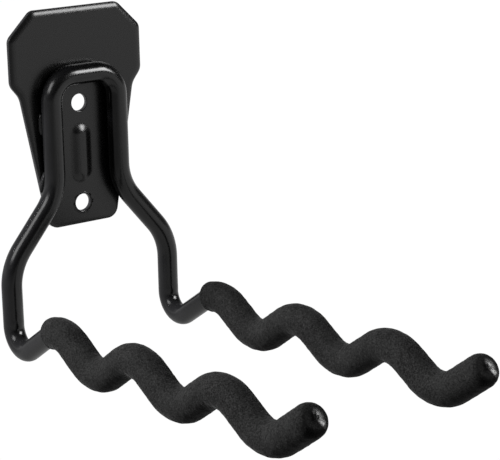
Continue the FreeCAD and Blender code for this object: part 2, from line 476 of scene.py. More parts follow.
@dataclass(frozen=True)
class PowderCoat:
    """Black polyester powder coat, sprayed on steel and baked.

    It melts into one smooth skin with a faint orange peel and tiny nibs, so its highlights are soft
    and slightly broken, and it runs thin and glossier over edges, where "mark" is 1.  It is a plastic
    film, so it isn't metallic and has a plastic's IOR of 1.5.  A semi-gloss coat has a roughness of
    0.2 to 0.35.
    """

    name: str
    roughness: float
    edge_roughness: float = 0.28
    deep: str = "#101011"
    pale: str = "#151516"
    edge: str = "#1f1f20"
    ior: float = 1.5
    uneven: float = 0.03         # how far the roughness strays to either side
    peel_mm: float = 1.6         # orange peel is 1 to 3 mm across
    peel_depth_mm: float = 0.003
    nib_mm: float = 0.6          # real nibs are about 0.2 mm, too fine to show at this scale
    nib_depth_mm: float = 0.0015
    blotch_mm: float = 16.0      # where the spray lay thicker and thinner

    def material(self) -> bpy.types.Material:
        """Build the coat: blotched colour, peel and nibs as bump, and glossier edges.

        Returns:
            The material.
        """
        material = bpy.data.materials.new(self.name)
        material.use_nodes = True
        tree = material.node_tree
        shader = tree.nodes["Principled BSDF"]
        place = add_node(tree, "ShaderNodeTexCoord").outputs["Object"]
        edge = add_node(tree, "ShaderNodeAttribute", attribute_name="mark").outputs["Fac"]
        blotch = add_node(tree, "ShaderNodeTexNoise", {
            "Vector": place, "Scale": per_metre(self.blotch_mm), "Detail": 3.0, "Roughness": 0.6})
        tone = add_node(tree, "ShaderNodeValToRGB", {"Fac": blotch.outputs["Fac"]})
        blend_stops(tone, [(0.3, self.deep), (0.72, self.pale)])
        colour = add_node(tree, "ShaderNodeMix", {
            "Factor": edge, 6: tone.outputs["Color"], 7: linear(self.edge)}, data_type="RGBA")
        tree.links.new(colour.outputs[2], shader.inputs["Base Color"])
        nibs = add_node(tree, "ShaderNodeTexNoise", {
            "Vector": place, "Scale": per_metre(self.nib_mm), "Detail": 2.0, "Roughness": 0.5})
        uneven = add_node(tree, "ShaderNodeMapRange", {
            "Value": nibs.outputs["Fac"], "From Min": 0.3, "From Max": 0.7,
            "To Min": self.roughness - self.uneven, "To Max": self.roughness + self.uneven})
        rough = add_node(tree, "ShaderNodeMix", {
            "Factor": edge, 2: uneven.outputs["Result"], 3: self.edge_roughness}, data_type="FLOAT")
        tree.links.new(rough.outputs[0], shader.inputs["Roughness"])
        peel = add_node(tree, "ShaderNodeTexNoise", {
            "Vector": place, "Scale": per_metre(self.peel_mm), "Detail": 1.0, "Roughness": 0.4})
        peel_bump = add_node(tree, "ShaderNodeBump", {
            "Height": peel.outputs["Fac"], "Strength": 1.0, "Distance": self.peel_depth_mm * MM})
        nib_bump = add_node(tree, "ShaderNodeBump", {
            "Height": nibs.outputs["Fac"], "Strength": 1.0, "Distance": self.nib_depth_mm * MM,
            "Normal": peel_bump.outputs["Normal"]})
        tree.links.new(nib_bump.outputs["Normal"], shader.inputs["Normal"])
        shader.inputs["IOR"].default_value = self.ior
        return material


@dataclass(frozen=True)
class FoamSkin:
    """Black closed-cell rubber foam, extruded as a tube with a dry, pebbled skin.

    The burst cells on the skin give a matte black with a fine sparkle and hardly any mirror gloss.
    Where "mark" is 1 the foam was melted shut, so it is smoother and glossier.  Rubber isn't metallic
    and has an IOR of about 1.5.  A dry rubber skin has a roughness of 0.6 to 0.9.
    """

    name: str
    deep: str = "#0c0c0c"
    pale: str = "#282828"
    sealed: str = "#191919"
    roughness: float = 0.62
    sealed_roughness: float = 0.3
    pit_drier: float = 0.08      # the pits are rougher by this
    rim_glossier: float = 0.1    # and their rims smoother by this
    ior: float = 1.5
    gloss: float = 0.05          # the open cells swallow most of the mirror gloss
    sealed_gloss: float = 0.5
    fuzz: float = 0.025
    fuzz_roughness: float = 0.35
    cell_mm: float = 1.3         # the skin's pebbles are 1 to 1.5 mm across
    cell_depth_mm: float = 0.10
    pit_mm: float = 0.5          # real pits are 0.1 to 0.2 mm, too fine to show at this scale
    pit_depth_mm: float = 0.07
    patch_mm: float = 9.0        # slow changes of tone along the tube
    patch_share: float = 0.12

    def material(self) -> bpy.types.Material:
        """Build the skin: speckled colour, cells and pits as bump, and a glossier sealed end.

        Returns:
            The material.
        """
        material = bpy.data.materials.new(self.name)
        material.use_nodes = True
        tree = material.node_tree
        shader = tree.nodes["Principled BSDF"]
        place = add_node(tree, "ShaderNodeTexCoord").outputs["Object"]
        sealed = add_node(tree, "ShaderNodeAttribute", attribute_name="mark").outputs["Fac"]
        cells = add_node(tree, "ShaderNodeTexVoronoi", {
            "Vector": place, "Scale": per_metre(self.cell_mm), "Randomness": 1.0}, feature="F1")
        pits = add_node(tree, "ShaderNodeTexNoise", {
            "Vector": place, "Scale": per_metre(self.pit_mm), "Detail": 2.0, "Roughness": 0.6})
        patches = add_node(tree, "ShaderNodeTexNoise", {
            "Vector": place, "Scale": per_metre(self.patch_mm), "Detail": 2.0, "Roughness": 0.5})
        mottle = add_node(tree, "ShaderNodeMix", {
            "Factor": self.patch_share, 2: pits.outputs["Fac"], 3: patches.outputs["Fac"]},
            data_type="FLOAT")
        tone = add_node(tree, "ShaderNodeValToRGB", {"Fac": mottle.outputs[0]})
        blend_stops(tone, [(0.40, self.deep), (0.74, self.pale)])
        colour = add_node(tree, "ShaderNodeMix", {
            "Factor": sealed, 6: tone.outputs["Color"], 7: linear(self.sealed)}, data_type="RGBA")
        tree.links.new(colour.outputs[2], shader.inputs["Base Color"])
        dry = add_node(tree, "ShaderNodeMapRange", {
            "Value": pits.outputs["Fac"], "From Min": 0.3, "From Max": 0.7,
            "To Min": self.roughness + self.pit_drier, "To Max": self.roughness - self.rim_glossier})
        rough = add_node(tree, "ShaderNodeMix", {
            "Factor": sealed, 2: dry.outputs["Result"], 3: self.sealed_roughness}, data_type="FLOAT")
        tree.links.new(rough.outputs[0], shader.inputs["Roughness"])
        cell_bump = add_node(tree, "ShaderNodeBump", {
            "Height": cells.outputs["Distance"], "Strength": 0.8, "Distance": self.cell_depth_mm * MM})
        pit_bump = add_node(tree, "ShaderNodeBump", {
            "Height": pits.outputs["Fac"], "Strength": 1.0, "Distance": self.pit_depth_mm * MM,
            "Normal": cell_bump.outputs["Normal"]})
        tree.links.new(pit_bump.outputs["Normal"], shader.inputs["Normal"])
        gloss = add_node(tree, "ShaderNodeMix", {
            "Factor": sealed, 2: self.gloss, 3: self.sealed_gloss}, data_type="FLOAT")
        tree.links.new(gloss.outputs[0], shader.inputs["Specular IOR Level"])
        shader.inputs["IOR"].default_value = self.ior
        shader.inputs["Sheen Weight"].default_value = self.fuzz
        shader.inputs["Sheen Roughness"].default_value = self.fuzz_roughness
        return material


# ---------------------------------------------------------------- pieces
class Side(Enum):
    """Which half of the hanger a piece is on; the value is the sign of X there."""

    LEFT = -1
    RIGHT = 1


class Level(Enum):
    """Which of a leg's two welds; the value is its distance along the rod from the crown's middle."""

    UPPER = 30.4
    LOWER = 55.4


def dress(piece: bpy.types.Object, material: bpy.types.Material, node: str) -> None:
    """Give a piece its finish and its place in the frame.

    Args:
        piece: the finished piece.
        material: its finish.
        node: the CAD node it stands for.
    """
    piece.data.materials.append(material)
    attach(piece, BODY)
    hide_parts(node)
    corners = np.array(piece.bound_box) / MM
    low, high = corners.min(0), corners.max(0)
    cad_low, cad_high = box_of(node)
    past = np.maximum(cad_low - low, high - cad_high)
    log.info("%s: %d faces, %s mm, past its CAD box by %s mm", piece.name, len(piece.data.polygons),
             (high - low).round(1).tolist(), past.round(2).tolist())


@dataclass
class BentRod:
    """One steel bar: inverted U on the plate, spreading legs, heels, and the waves inside the sleeves."""

    line: RodLine
    columns: int = 64
    ring_spacing: float = 0.7
    end_inside_sleeve: float = 5.0
    end_chamfer: float = 0.8
    inner_width: float = 0.75    # radians of the section that the heel's marks spread over
    hollow_depth: float = 0.10   # the bar is squeezed on the inside of its heel
    hollow_at: float = 6.5       # so far past the start of the heel's bend
    hollow_width: float = 4.0
    nub_height: float = 0.22     # the bending tool pinched the bar just above the heel
    nub_at: float = -1.2
    nub_width: float = 1.5

    def radii(self, distance: np.ndarray) -> np.ndarray:
        """Radius of the bar round each ring.

        The bar's radius is changed near the heel by two bell curves on its inner side, a shallow hollow
        in the bend and a nub just above it, both times a bell curve about the angle that faces inwards.

        Args:
            distance: signed lengths of the rings.

        Returns:
            R x C radii.
        """
        inner = facing(turns(self.columns), math.pi, self.inner_width)[None, :]
        along = np.abs(distance)[:, None] - self.line.heel
        hollow = -self.hollow_depth * bump_at(along, self.hollow_at, self.hollow_width)
        nub = self.nub_height * bump_at(along, self.nub_at, self.nub_width)
        return self.line.rod_radius + (hollow + nub) * inner

    def build(self) -> bpy.types.Object:
        """Carry the circle from tip to tip and close both ends with a chamfer and a flat.

        Returns:
            The rod.
        """
        reach = self.line.length - self.end_inside_sleeve
        rings = 2 * round(reach / self.ring_spacing) + 1
        distance = np.linspace(-reach + self.end_chamfer, reach - self.end_chamfer, rings)
        radius = self.radii(distance)
        ends = np.array([reach])
        tip = np.full((1, self.columns), self.line.rod_radius - self.end_chamfer)
        distance = np.concatenate([-ends, distance, ends])
        radius = np.concatenate([tip, radius, tip])
        surface = Surface()
        surface.add_tube(self.line.skin(distance, radius, self.columns))
        return surface.make("bent_rod")


@dataclass
class FoamSleeve:
    """A foam tube pushed over one arm, with a soft open mouth and a melted, pinched far end."""

    line: RodLine
    side: Side
    wall_radius: float = 6.45    # outside
    bore_radius: float = 4.35    # the rod's radius and a 0.1 mm film of glue
    setback: float = 3.4         # of the mouth from the start of the first crest
    lip: float = 1.25
    end_rounding: float = 4.9
    end_power: float = 2.3       # of the end's superellipse; 2 would be a circle
    end_lead: float = 1.35       # above 1 makes the end blunter
    end_wall: float = 5.0
    columns: int = 104
    ring_spacing: float = 0.4
    bore_spacing: float = 2.5
    pebble_mm: float = 1.2
    pebble_height: float = 0.035
    swell_mm: float = 13.0
    swell_height: float = 0.035
    ripple_pitch: float = 4.2    # of the creases on the inside of each bend
    ripple_height: float = 0.05
    ripple_reach: float = 6.5    # along the arm, to both sides of the bend's middle
    ripple_width: float = 0.7    # round the section, in radians
    seal_at: tuple[float, float] = (0.7, 1.5)      # u and v of its middle on the end face
    seal_half: tuple[float, float] = (3.5, 1.35)   # half its length and width
    seal_slant: float = 0.25     # rise of v for each step of u
    crinkle_height: float = 0.07
    dent_at: tuple[float, float] = (-0.4, -1.1)    # u and v
    dent_depth: float = 0.9
    dent_width: float = 1.6

    def section(self) -> tuple[np.ndarray, np.ndarray, np.ndarray]:
        """Distance, radius and outside-ness of each ring, from the far end, over the wall, into the bore.

        The far end is like a quarter of a superellipse: with t from 0 at the face to 1 at the wall, the
        radius is flat + rounding * (1 - (1 - t)^power)^(1 / power) at a depth of rounding * t^lead.  The
        wall is straight, the lip is a quarter circle, and the bore is straight to its blind end.

        Returns:
            Three arrays with one value for each ring.
        """
        whole = self.line.length
        mouth = self.line.first_wave + self.setback
        flat = self.wall_radius - self.end_rounding
        face = np.linspace(0.25, flat, 5)        # rings on the flat of the end face
        t = np.linspace(0.0, 1.0, 16)[1:]
        power = self.end_power
        cap_radius = flat + self.end_rounding * (1.0 - (1.0 - t) ** power) ** (1.0 / power)
        cap_depth = self.end_rounding * t**self.end_lead
        shoulder = whole - self.end_rounding - self.ring_spacing
        wall = np.arange(shoulder, mouth + self.lip, -self.ring_spacing)
        turn = np.linspace(0.0, math.pi / 2.0, 7)
        lip_place = mouth + self.lip * (1.0 - np.sin(turn))
        lip_radius = self.wall_radius - self.lip * (1.0 - np.cos(turn))
        bore = np.arange(mouth + 0.05, whole - self.end_wall, self.bore_spacing)
        distance = np.concatenate([np.full(len(face), whole), whole - cap_depth, wall, lip_place, bore])
        radius = np.concatenate([
            face, cap_radius, np.full(len(wall), self.wall_radius), lip_radius,
            np.full(len(bore), self.bore_radius)])
        outside = np.ones(len(distance))
        outside[-len(bore):] = 0.0
        return distance, radius, outside

    def build(self) -> bpy.types.Object:
        """Carry the section along the arm, with pebbles, swells, bend ripples and the pinched end.

        The pebbles and swells are seeded noise.  The ripples are a cosine along the arm, times a bell
        curve about the middle of each bend, times another about the side that faces inwards.

        Returns:
            The sleeve.
        """
        distance, radius, outside = self.section()
        rows = len(distance)
        angle = turns(self.columns)
        cell = (self.ring_spacing, 2.0 * math.pi * self.wall_radius / self.columns)
        seed = 40 + self.side.value
        pebble = grain(rows, self.columns, cell, self.pebble_mm, seed) * self.pebble_height
        swell = grain(rows, self.columns, cell, self.swell_mm, seed + 10) * self.swell_height
        relief = (pebble + swell) * np.minimum(1.0, radius / self.wall_radius)[:, None] ** 2
        for start, end, crest in self.line.bends():
            inner = facing(angle, math.pi if crest > 0 else 0.0, self.ripple_width)
            wave = np.cos(distance * (2.0 * math.pi / self.ripple_pitch))
            ripple = bump_at(distance, (start + end) / 2.0, self.ripple_reach) * wave
            relief = relief + self.ripple_height * ripple[:, None] * inner[None, :]
        full = radius[:, None] + relief * outside[:, None]
        grid = self.line.skin(distance * self.side.value, full, self.columns)
        grid, sealed = self.pinch(grid, distance, radius, angle)
        surface = Surface()
        surface.add_tube(grid, sealed, first_mark=1.0)
        return surface.make(f"{self.side.name.lower()}_foam_cover")

    def pinch(self, grid: np.ndarray, distance: np.ndarray, radius: np.ndarray,
              angle: np.ndarray) -> tuple[np.ndarray, np.ndarray]:
        """Melt the far end shut: a glossy, crinkled seal with a dent beside it.

        Over the end face, u and v are radius * cos and sin of the angle.  Points are pushed along the
        tip's heading by crinkles, two crossed sine waves about 2.0 and 1.6 mm long, and by a dent, a bell
        curve about a point.  The seal is a slanting ellipse beside the dent, with a soft rim.

        Args:
            grid: the sleeve's places.
            distance: the rings' distances.
            radius: the rings' radii before relief.
            angle: the columns' angles.

        Returns:
            The changed places, and how sealed the foam is at each, from 0 to 1.
        """
        u = radius[:, None] * np.cos(angle)[None, :]
        v = radius[:, None] * np.sin(angle)[None, :] * self.side.value
        whole = self.line.length
        near_end = smooth_step(whole - self.end_rounding, whole - 1.0, distance)[:, None]
        up = (v - self.seal_at[1] - self.seal_slant * u) / self.seal_half[1]
        across = (u - self.seal_at[0]) / self.seal_half[0]
        sealed = near_end * (1.0 - smooth_step(0.7, 1.15, np.hypot(up, across)))
        crinkle = self.crinkle_height * np.sin(2.9 * u + 1.3 * v) * np.sin(3.7 * v - 1.1 * u + 0.6)
        from_dent = np.hypot(u - self.dent_at[0], v - self.dent_at[1])
        dent = -self.dent_depth * bump_at(from_dent, 0.0, self.dent_width)
        behind = self.line.at(np.array([(whole - 3.0) * self.side.value]))[0][0]
        heading = unit(grid[0].mean(0) - behind)
        push = near_end * (crinkle * sealed + dent)
        return grid + heading * push[:, :, None], sealed


@dataclass
class WallPlate:
    """The pressed plate: rolled edge, relief behind, stiffening bead and two screw holes."""

    head_foot: float = 31.4
    chamfer: tuple[float, float] = (10.7, 10.6)
    waist_width: float = 53.8
    waist_drop: float = 5.3
    foot_width: float = 32.4
    corner_radii: tuple[float, ...] = (4.0, 4.0, 5.0, 8.0, 5.0)
    depth: float = PLATE_DEPTH
    relief: float = 0.4
    rim_width: float = 2.4
    band_width: float = 3.3      # of the strip round the outline that the rolled edge is built in
    soft_radius: float = 4.6     # the edge leans back along this radius
    lean_head: float = 34.0      # by this many degrees at the head
    lean_foot: float = 12.0      # and this many at the bottom edge
    corner_radius: float = 0.55  # then turns the corner to the plate's side
    hole_radius: float = 3.6
    hole_spacing: float = 42.3
    hole_rounding: float = 0.35
    hole_ring: float = 0.7       # width of the ring of faces round a hole
    bead_length: float = 24.3
    bead_width: float = 9.0
    bead_height: float = 1.2
    bead_flat: float = 0.9       # half width of the bead's top
    bead_blend: tuple[float, float] = (0.7, -0.4)   # its foot's reach past its width, front and back
    bead_hollow: float = 0.9     # depth of the hollow behind it, as a share of its height
    dish_depth: float = 0.025    # the press leaves the sheet very slightly dished
    dish_turn: tuple[float, float] = (0.07, 0.05)   # radians of the dish's waves per mm, across and up
    dish_shift: float = 0.4
    worn: float = 0.8            # how fully the thin coat shows round the corner and the holes
    lead_rows: int = 4           # rows of faces before the leaning arc
    lean_rows: int = 8           # over it
    corner_rows: int = 6         # and round the corner
    edge_spacing: float = 0.6    # of the points round the outline
    hole_points: int = 60
    net: float = 0.8             # spacing of the points inside the faces

    def outline(self) -> CentreLine:
        """Lay out the plate's edge from its box and its sizes: straight stretches and round corners.

        Returns:
            The line round the edge, clockwise from the middle of its top.
        """
        low, high = box_of("wall_plate")
        half, top, foot = high[0], high[2], low[2]
        right = [
            (half - self.chamfer[0], top),
            (half, top - self.chamfer[1]),
            (half, self.head_foot),
            (self.waist_width / 2, self.head_foot - self.waist_drop),
            (self.foot_width / 2, foot),
        ]
        left = [(-x, z) for x, z in reversed(right)]
        ring = [(0.0, top), *right, *left, (0.0, top)]
        radii = [*self.corner_radii, *reversed(self.corner_radii)]
        return CentreLine(np.array([(x, 0.0, z) for x, z in ring]), np.array(radii))

    def bead(self, across: np.ndarray, up: np.ndarray, reach: float) -> np.ndarray:
        """Height of the pressed bead.

        It is a smooth step of the distance from the bead's middle line, which is a segment, so the
        bead is a round-ended bar whose sides run into the sheet without a corner.

        Args:
            across: distances from the plate's middle line.
            up: heights.
            reach: half width of the bead's foot.

        Returns:
            Heights in mm, 0 outside the bead.
        """
        straight = (self.bead_length - self.bead_width) / 2
        away = np.hypot(across, up - np.clip(up, -straight, straight))
        return self.bead_height * smooth_step(reach, self.bead_flat, away)

    def front(self, across: np.ndarray, up: np.ndarray) -> np.ndarray:
        """Depth of the front face: flat but for the bead and a dish, one minus a cosine times a sine.

        Args:
            across: distances from the plate's middle line.
            up: heights.

        Returns:
            Places along Y in mm.
        """
        wave = np.cos(across * self.dish_turn[0]) * np.sin(up * self.dish_turn[1] + self.dish_shift)
        bead = self.bead(across, up, self.bead_width / 2 + self.bead_blend[0])
        return -self.depth - bead - self.dish_depth * (1.0 - wave)

    def back(self, across: np.ndarray, up: np.ndarray) -> np.ndarray:
        """Depth of the back face: flat but for the bead's hollow."""
        bead = self.bead(across, up, self.bead_width / 2 + self.bead_blend[1])
        return -self.relief - self.bead_hollow * bead

    def edge_band(self, surface: Surface, outline: CentreLine, samples: int) -> np.ndarray:
        """Add the strip round the outline, from the front face over the rolled edge to the relief.

        The section is given by steps inwards from the outline and depths.  It is an arc that leans
        back, by more at the head than at the foot, then a tight arc round the corner.

        Args:
            surface: where the strip goes.
            outline: the plate's outline.
            samples: points round it.

        Returns:
            The inner ring of the strip, samples x 2, across and up.
        """
        place, heading = outline.at(np.arange(samples) * (outline.length / samples))
        inward = np.stack([heading[:, 2], np.zeros(samples), -heading[:, 0]], axis=-1)
        head = smooth_step(-28.0, 34.0, place[:, 2])
        lean = np.radians(self.lean_foot + (self.lean_head - self.lean_foot) * head)
        soft = np.linspace(0.0, 1.0, self.lean_rows)[:, None] * lean
        tight = lean + np.linspace(0.0, 1.0, self.corner_rows + 1)[1:, None] * (math.pi / 2.0 - lean)
        corner_width = self.corner_radius * (1.0 - np.sin(lean))
        soft_inset = corner_width + self.soft_radius * (np.sin(lean) - np.sin(soft))
        soft_depth = self.soft_radius * (1.0 - np.cos(soft))
        tight_inset = self.corner_radius * (1.0 - np.sin(tight))
        tight_depth = soft_depth[-1] + self.corner_radius * (np.cos(lean) - np.cos(tight))
        lead = np.linspace(1.0, 0.0, self.lead_rows + 1)[:-1, None]
        inset = [soft_inset[0] + (self.band_width - soft_inset[0]) * lead, soft_inset, tight_inset]
        depth = [np.full((self.lead_rows, samples), -self.depth), -self.depth + soft_depth,
                 -self.depth + tight_depth]
        side = ((0.0, -0.2), (0.06, -0.06), (0.2, 0.0))            # down to the wall, with a small bevel
        step_up = ((0.0, 0.0), (0.1, -0.1), (0.2, -0.3), (0.4, -self.relief))   # from the rim's inner edge
        rim = [(self.rim_width + step, level) for step, level in step_up]
        for step, level in (*side, *rim, (self.band_width, -self.relief)):
            inset.append(np.full((1, samples), step))
            depth.append(np.full((1, samples), level))
        inset_all, depth_all = np.concatenate(inset), np.concatenate(depth)
        grid = place[None] + inward[None] * inset_all[:, :, None]
        flat_front = np.arange(len(inset_all))[:, None] <= self.lead_rows
        settle = smooth_step(0.0, self.band_width, inset_all) * flat_front
        face = self.front(grid[:, :, 0], grid[:, :, 2])
        grid[:, :, 1] = np.where(flat_front, depth_all + (face + self.depth) * settle, depth_all)
        corner = self.lead_rows + self.lean_rows
        mark = np.zeros(grid.shape[:2])
        mark[corner:corner + self.corner_rows] = self.worn
        surface.add_grid(grid, mark)
        return grid[0][:, [0, 2]]

    def hole_band(self, surface: Surface, height: float, samples: int) -> np.ndarray:
        """Add a screw hole's ring: front, rounded rim, wall and back, turned about the hole's axis.

        Each point is at radius * cos and radius * sin of the angle.  The rim is a quarter circle.

        Args:
            surface: where it goes.
            height: the hole's height.
            samples: points round it.

        Returns:
            The ring's outer edge, samples x 2, across and up.
        """
        turn = np.linspace(0.0, math.pi / 2.0, 6)
        outer = self.hole_radius + self.hole_ring
        burr = 0.15                                  # the hole's back edge is broken by this
        wall = np.linspace(-1.8, -self.relief - 0.12, 3)
        radius = np.concatenate([[outer], self.hole_radius + self.hole_rounding * (1.0 - np.sin(turn)),
                                 [self.hole_radius] * len(wall), [self.hole_radius + burr, outer]])
        depth = np.concatenate([[-self.depth], -self.depth + self.hole_rounding * (1.0 - np.cos(turn)),
                                wall, [-self.relief, -self.relief]])
        angle = turns(samples)
        grid = np.stack([
            radius[:, None] * np.cos(angle), np.broadcast_to(depth[:, None], (len(radius), samples)),
            height + radius[:, None] * np.sin(angle)], axis=-1).copy()
        grid[0, :, 1] = self.front(grid[0, :, 0], grid[0, :, 2])
        mark = np.zeros(grid.shape[:2])
        mark[1:1 + len(turn) + 2] = self.worn         # the rim and the top of the wall
        surface.add_grid(grid, mark)
        return grid[0][:, [0, 2]]

    def faces(self, rim: np.ndarray, holes: list[np.ndarray]) -> tuple[np.ndarray, np.ndarray]:
        """Net of triangles between the edge strip and the hole rings.

        A staggered grid of points is kept where it lies inside the rim and clear of every ring, and a
        Delaunay net joins it to the rings.  Triangles well inside a hole are dropped.  The slivers
        between near points of a hole's ring stay: they lie flat on the ring's own faces.

        Args:
            rim: the edge strip's inner ring.
            holes: the hole rings.

        Returns:
            Points, across and up, and triangles.
        """
        low, high = rim.min(0), rim.max(0)
        columns = np.arange(low[0], high[0], self.net)
        rows = np.arange(low[1], high[1], self.net * math.sqrt(0.75))
        across, up = np.meshgrid(columns, rows)
        across = across + (np.arange(len(rows)) % 2)[:, None] * self.net / 2
        points = np.stack([across.ravel(), up.ravel()], axis=-1)
        start, end = rim, np.roll(rim, -1, axis=0)
        spans = (start[None, :, 1] > points[:, None, 1]) != (end[None, :, 1] > points[:, None, 1])
        rise = np.where(end[:, 1] == start[:, 1], 1.0, end[:, 1] - start[:, 1])
        crossing = start[:, 0] + (points[:, None, 1] - start[:, 1]) * (end[:, 0] - start[:, 0]) / rise
        inside = (spans & (crossing > points[:, None, 0])).sum(1) % 2 == 1
        rings = np.concatenate([rim, *holes])
        sliver = self.net * 0.6                      # a point nearer to a ring would make slivers
        clear = np.linalg.norm(points[:, None] - rings[None], axis=-1).min(1) > sliver
        middles = [ring.mean(0) for ring in holes]
        outer = self.hole_radius + self.hole_ring
        for middle in middles:
            clear &= np.linalg.norm(points - middle, axis=-1) > outer
        kept = np.concatenate([rings, points[inside & clear]])
        edges, first = [], 0
        for ring in (rim, *holes):
            edges += [(first + i, first + (i + 1) % len(ring)) for i in range(len(ring))]
            first += len(ring)
        result = delaunay_2d_cdt([Vector(point) for point in kept], edges, [], 1, 1e-5)
        net_points, triangles = np.array([tuple(v) for v in result[0]]), np.array(result[2])
        centre = net_points[triangles].mean(1)
        solid = np.ones(len(triangles), dtype=bool)
        for middle in middles:
            solid &= np.linalg.norm(centre - middle, axis=-1) > outer * 0.97
        return net_points, triangles[solid]

    def build(self) -> bpy.types.Object:
        """Join the edge strip, the hole rings and the two faces into one shell.

        Returns:
            The plate.
        """
        surface = Surface()
        outline = self.outline()
        rim = self.edge_band(surface, outline, round(outline.length / self.edge_spacing))
        heights = (self.hole_spacing / 2, -self.hole_spacing / 2)
        holes = [self.hole_band(surface, height, self.hole_points) for height in heights]
        flat, triangles = self.faces(rim, holes)
        front = np.stack([flat[:, 0], self.front(flat[:, 0], flat[:, 1]), flat[:, 1]], axis=-1)
        back = np.stack([flat[:, 0], self.back(flat[:, 0], flat[:, 1]), flat[:, 1]], axis=-1)
        surface.add(front, triangles)
        surface.add(back, triangles[:, ::-1])
        piece = surface.make("pressed_wall_plate", merge=0.004)
        form = bmesh.new()
        form.from_mesh(piece.data)
        bmesh.ops.recalc_face_normals(form, faces=form.faces)
        odd_edges = sum(not edge.is_manifold for edge in form.edges)
        form.to_mesh(piece.data)
        form.free()
        log.info("plate: %d edges without exactly two faces", odd_edges)
        return piece


@dataclass
class WeldBead:
    """A short rippled bead in the notch between a leg and the plate."""

    line: RodLine
    side: Side
    level: Level
    length: float = 9.0
    radius: float = 1.25
    stand_off: float = 3.4
    rise: float = 0.8            # of its middle above the plate's front
    end_power: float = 2.6       # how full the bead stays towards its ends
    ripple_pitch: float = 1.1
    ripple_height: float = 0.10
    ripple_lag: float = 0.35     # the arcs trail by this at the bead's edge
    least_radius: float = 0.05
    rings: int = 47
    columns: int = 36

    def build(self) -> bpy.types.Object:
        """Carry a circle along a short straight line, swelling and rippling like laid-down metal.

        With t from -1 to 1 along the bead, the radius is R * (1 - |t|^power)^0.5 * (1 + ripples), and the
        ripples are the rounded arcs of a weld pool, sin^2 of the distance plus a lag round the section.

        Returns:
            The bead.
        """
        way = np.array([self.level.value - 0.5, self.level.value, self.level.value + self.length / 2])
        place, _, _ = self.line.at(way * self.side.value)
        heading = unit(place[2] - place[1])
        outward = np.cross(heading, Y_AXIS) * self.side.value
        middle = np.array([place[1][0], -PLATE_DEPTH - self.rise, place[1][2]])
        centre = middle + outward * self.stand_off
        t = np.sin(np.linspace(-1.0, 1.0, self.rings + 2)[1:-1] * math.pi / 2.0)
        angle = turns(self.columns)
        along = t[:, None] * self.length / 2
        lag = self.ripple_lag * np.cos(angle)[None, :]
        ripple = np.sin((along + lag) * math.pi / self.ripple_pitch) ** 2 - 0.5
        swell = self.radius * (1.0 - np.abs(t[:, None]) ** self.end_power) ** 0.5
        radius = swell * (1.0 + self.ripple_height * ripple) - self.ripple_height * 0.5
        radius = np.maximum(radius, self.least_radius)
        second = np.cross(heading, outward)
        around = outward * np.cos(angle)[:, None] + second * np.sin(angle)[:, None]
        surface = Surface()
        surface.add_tube(centre + heading * along[:, :, None] + around[None] * radius[:, :, None])
        return surface.make(f"{self.level.name.lower()}_{self.side.name.lower()}_weld_bead")


# ---------------------------------------------------------------- studio
@dataclass(frozen=True)
class SoftBox:
    """A square or oblong soft light that faces a point on the hanger.

    A light can be left out of the matte or of the glossy reflections, as flags and black cards do in
    a studio: one lamp then shapes the highlights and another the foam's soft shading.
    """

    name: str
    place: tuple[float, float, float]
    aim: tuple[float, float, float]
    size: tuple[float, float]
    power: float
    on_matte: bool = False
    on_gloss: bool = True

    def build(self) -> None:
        """Make the light, turned to its aim."""
        light = bpy.data.lights.new(self.name, "AREA")
        light.shape = "RECTANGLE"
        light.size, light.size_y = self.size
        light.energy = self.power
        lamp = bpy.data.objects.new(self.name, light)
        lamp.visible_diffuse = self.on_matte
        lamp.visible_glossy = self.on_gloss
        direction = Vector(self.aim) - Vector(self.place)
        turn = direction.to_track_quat("-Z", "Y").to_matrix().to_4x4()
        lamp.matrix_world = Matrix.Translation(self.place) @ turn
        bpy.context.scene.collection.objects.link(lamp)


LIGHTS = (
    SoftBox("front_right_softbox", place=(0.68, -0.78, 0.52), aim=(0.0, -0.03, 0.0), size=(0.45, 0.5),
            power=11.5),
    SoftBox("left_softbox", place=(-0.98, -0.20, 0.72), aim=(0.0, -0.08, -0.02), size=(0.6, 0.6),
            power=5.0),
    SoftBox("right_rim_light", place=(1.08, 0.12, 0.34), aim=(0.0, -0.1, -0.05), size=(0.5, 0.5),
            power=7.0, on_matte=True, on_gloss=False),
    SoftBox("left_fill", place=(-0.87, 0.45, 0.68), aim=(0.0, -0.08, -0.05), size=(0.5, 0.5),
            power=66.0, on_matte=True, on_gloss=False),
)


